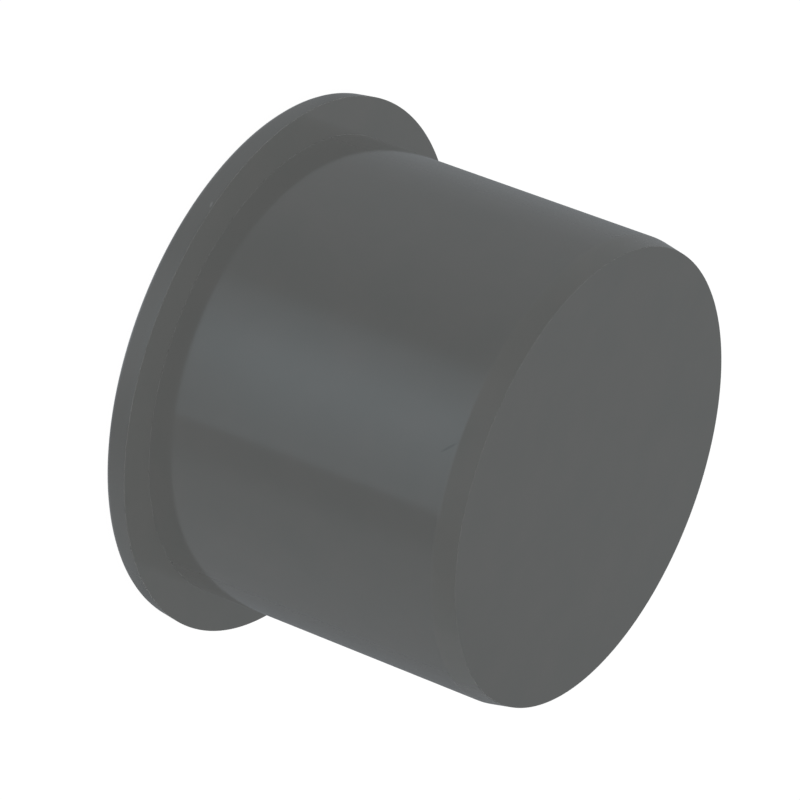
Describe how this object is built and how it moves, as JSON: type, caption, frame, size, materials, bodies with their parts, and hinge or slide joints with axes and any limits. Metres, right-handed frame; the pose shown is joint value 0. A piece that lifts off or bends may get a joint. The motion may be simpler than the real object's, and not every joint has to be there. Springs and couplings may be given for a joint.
{
  "type": "pipe plug",
  "caption": "Closed round pipe plug: a plain hollow spigot with a lead-in chamfer, pushed into a pipe socket up to its thin stop flange to shut the pipe.",
  "frame": {"origin": "centre of the open mouth, on the plane of the flange's back face, which it stands on", "axes": "+Z along the spigot's axis, from the flange towards the closed end that goes into the socket first"},
  "size_m": [0.0582, 0.0582, 0.0398],
  "materials": {
    "grey_plastic": "semi-gloss, injection-moulded in a smooth mould, mid to dark grey"
  },
  "bodies": {
    "root": {"plug": "grey_plastic"}
  },
  "joints": []
}
